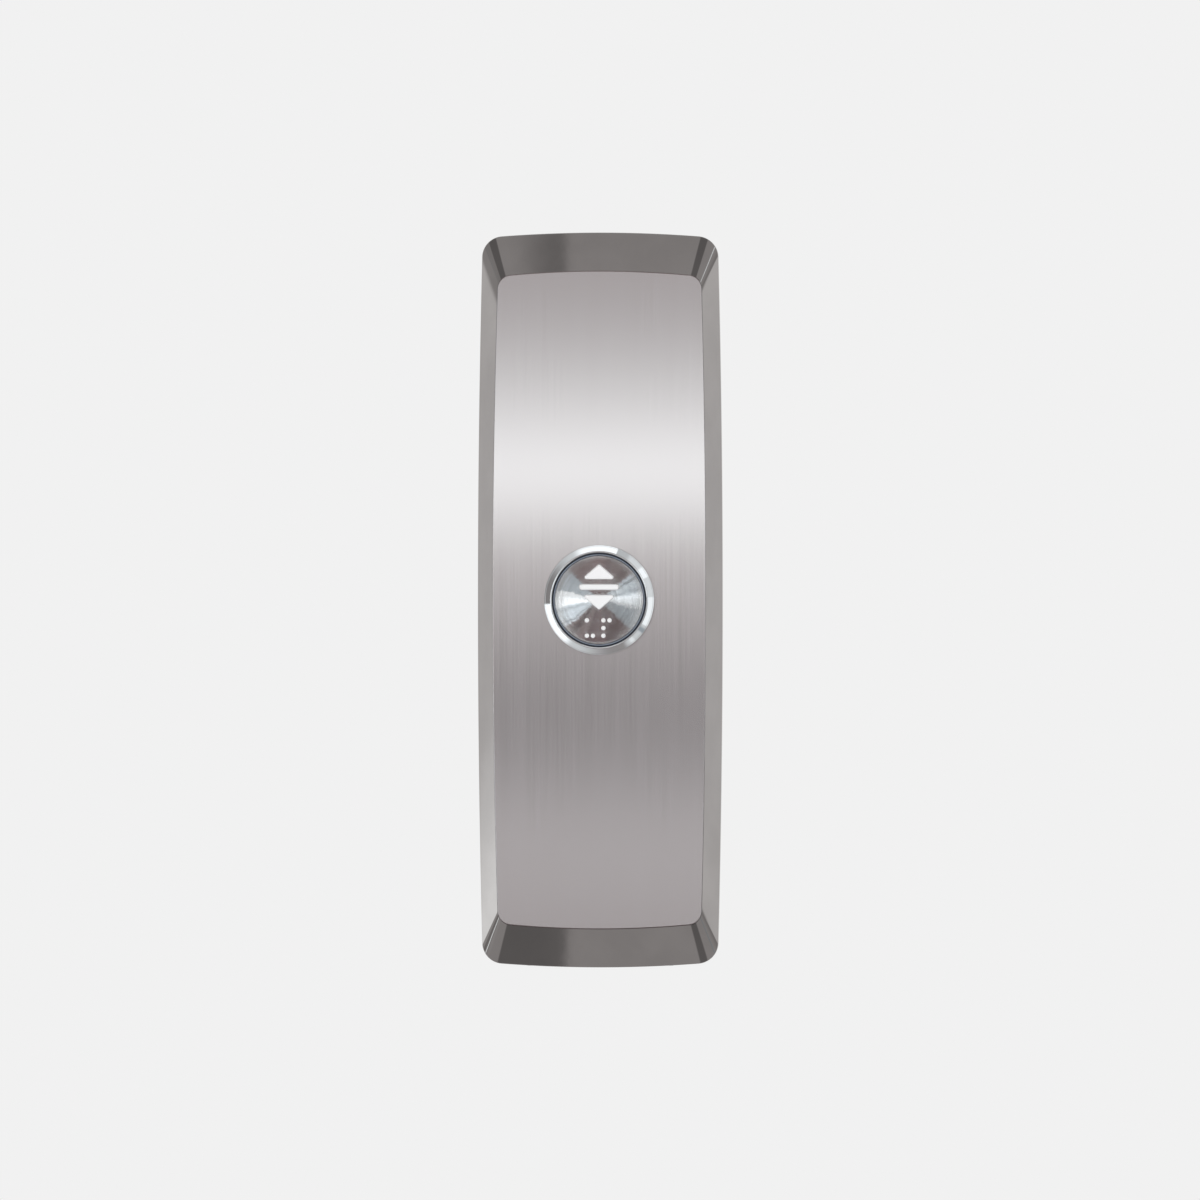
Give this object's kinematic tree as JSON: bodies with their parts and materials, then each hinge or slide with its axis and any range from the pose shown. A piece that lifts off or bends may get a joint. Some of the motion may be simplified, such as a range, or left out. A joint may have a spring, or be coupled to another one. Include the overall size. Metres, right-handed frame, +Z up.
{
  "type": "elevator control panel",
  "caption": "Tall surface-mounted lift landing panel: bevelled metal cover, arched brushed face, round two-way push button, electronics and wall tray behind.",
  "frame": {"origin": "centre of the wall-fixing slots, in the plane of the wall", "axes": "+Z up the wall, -Y out of the wall towards the user, +X to the right seen from the front"},
  "size_m": [0.0844, 0.0265, 0.2536],
  "materials": {
    "polished_frame": "polished grey metal",
    "brushed_steel": "vertical brushed",
    "foam_tape": "matt foam",
    "zinc_sheet": "zinc-plated sheet",
    "black_plastic": "moulded",
    "zinc_hardware": "zinc-plated",
    "green_board": "solder resist",
    "black_package": "moulded package",
    "tinned_copper": "tinned",
    "can_metal": "drawn can",
    "ceramic": "ceramic chips",
    "white_plastic": "moulded",
    "green_plastic": "moulded connector",
    "ivory_plastic": "moulded connector",
    "gold_plate": "gold-plated pins",
    "wire_insulation": "four coloured wires",
    "brass_stud": "turned",
    "earth_insulation": "green and yellow",
    "chrome_trim": "polished chrome",
    "black_rubber": "moulded rubber",
    "dark_lens": "dark translucent ring",
    "nut_metal": "die-cast",
    "spun_steel": "spun, circular brushing",
    "white_lens": "translucent white",
    "steel_pin": "polished pins",
    "grey_plastic": "moulded",
    "spring_steel": "drawn wire",
    "red_plastic": "moulded"
  },
  "bodies": {
    "panel": {"bevel_frame": "polished_frame", "face_plate": "brushed_steel", "bonding_tape": "foam_tape", "base_tray": "zinc_sheet", "window_liner": "black_plastic", "clinch_nuts": "zinc_hardware", "cover_screws": "zinc_hardware", "board_standoffs": "zinc_hardware", "main_board": "green_board", "board_screws": "zinc_hardware", "board_chips": "black_package", "chip_leads": "tinned_copper", "board_capacitors": "can_metal", "small_components": "ceramic", "buzzer": "black_plastic", "address_switch": "black_plastic", "field_socket": "green_plastic", "field_plug": "green_plastic", "terminal_screws": "zinc_hardware", "board_header": "ivory_plastic", "header_pins": "gold_plate", "harness_plugs": "ivory_plastic", "harness_wires": "wire_insulation", "earth_studs": "brass_stud", "earth_nuts": "brass_stud", "earth_lugs": "tinned_copper", "earth_lead": "earth_insulation", "bezel_ring": "chrome_trim", "bezel_gasket": "black_rubber", "halo_ring": "dark_lens", "button_barrel": "black_plastic", "ring_nut": "nut_metal", "nut_washer": "zinc_hardware", "return_spring": "spring_steel", "button_board": "green_board", "button_leds": "white_lens", "switch_case": "black_plastic", "switch_pins": "gold_plate", "button_header": "ivory_plastic", "rear_cap": "black_plastic", "rear_cap_screws": "zinc_hardware"},
    "push_button": {"button_cap": "spun_steel", "symbol_lens": "white_lens", "braille_pins": "steel_pin", "button_plunger": "grey_plastic"},
    "lever": {"switch_lever": "spring_steel"},
    "switch_pin": {"switch_plunger": "red_plastic"},
    "address_dial": {"address_rotor": "white_plastic"}
  },
  "joints": [
    {"name": "button_press", "type": "slide", "parent": "panel", "child": "push_button", "axis": [0, 1, 0], "range_m": [0, 0.0016], "stiffness_N_per_m": 900, "springref_m": -0.0025, "deforming": ["return_spring"]},
    {"name": "lever_turn", "type": "hinge", "parent": "panel", "child": "lever", "pos_m": [-0.0056, -0.0184, 0], "axis": [0, 0, 1], "range_deg": [0, 8.27]},
    {"name": "switch_pin_press", "type": "slide", "parent": "panel", "child": "switch_pin", "axis": [0, 1, 0], "range_m": [0, 0.00052]},
    {"name": "address_turn", "type": "hinge", "parent": "panel", "child": "address_dial", "pos_m": [0.018, -0.0095, -0.09], "axis": [0, -1, 0], "continuous": true}
  ],
  "couplings": [
    {"joint": "lever_turn", "follows": "button_press", "rad_per_m": 90.09},
    {"joint": "switch_pin_press", "follows": "button_press", "ratio": 0.3243}
  ]
}
